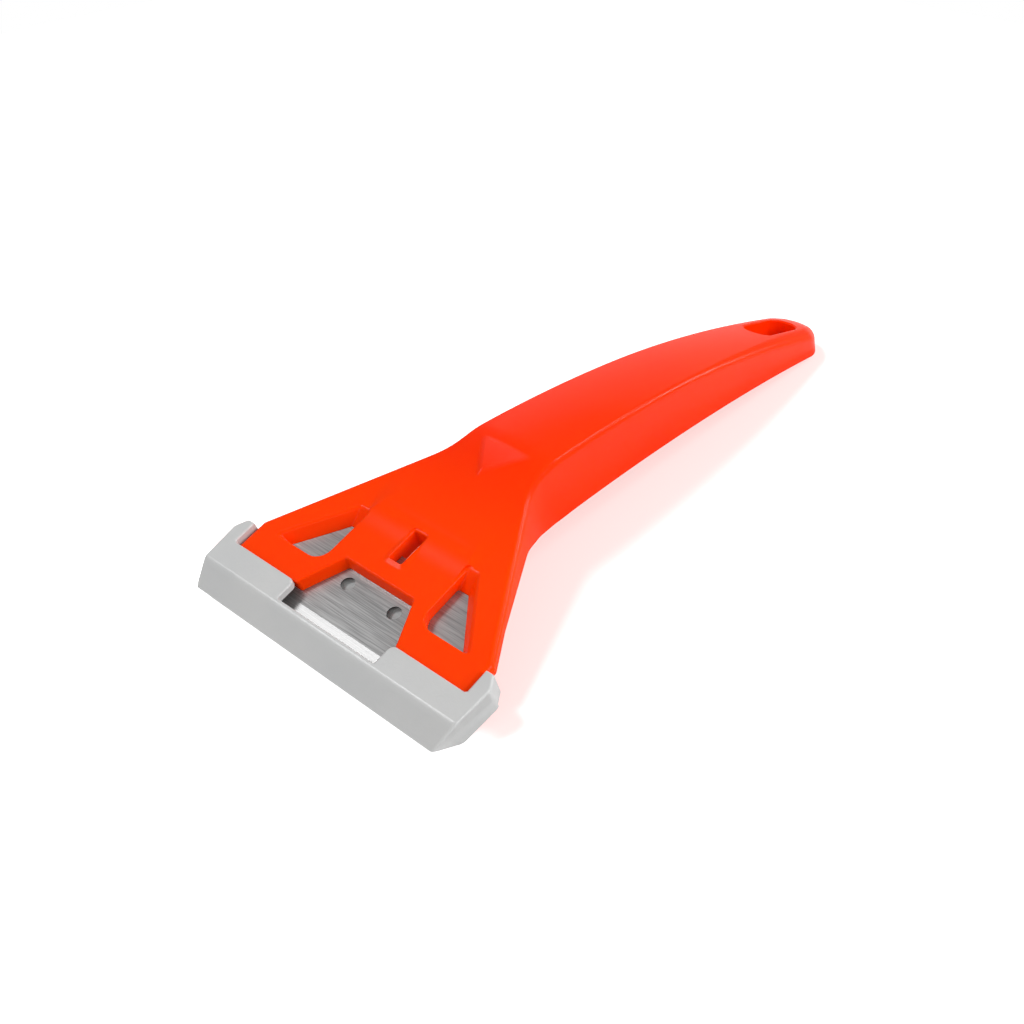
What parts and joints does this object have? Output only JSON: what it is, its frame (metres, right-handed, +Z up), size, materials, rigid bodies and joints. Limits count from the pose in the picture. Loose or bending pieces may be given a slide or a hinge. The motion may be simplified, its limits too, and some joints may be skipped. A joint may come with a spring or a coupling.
{
  "type": "razor blade scraper",
  "caption": "Hand scraper with a curved moulded handle, a wide thin razor blade held in a slotted head, and a push-on guard over the cutting edge.",
  "frame": {"origin": "centre of the bounding box on the table plane, with the scraper resting on the guard's toe and the handle's tail", "axes": "+Z up from the table, -Y towards the cutting edge, +Y towards the tail of the handle, X along the blade; the scraper is mirror symmetric about the plane X = 0"},
  "size_m": [0.0736, 0.18, 0.0241],
  "materials": {
    "handle_plastic": "semi-gloss moulded plastic, bright orange-red",
    "blade_steel": "fine lengthwise brushing, bright ground bevel",
    "guard_plastic": "satin moulded plastic, light grey"
  },
  "bodies": {
    "handle": {"handle": "handle_plastic"},
    "blade": {"blade": "blade_steel"},
    "blade_guard": {"blade_guard": "guard_plastic"}
  },
  "joints": [
    {"name": "blade_slide", "type": "slide", "parent": "handle", "child": "blade", "axis": [0, -0.9487, -0.3161], "range_m": [0, 0.018]},
    {"name": "guard_slide", "type": "slide", "parent": "blade", "child": "blade_guard", "axis": [0, -0.9487, -0.3161], "range_m": [0, 0.022]}
  ]
}
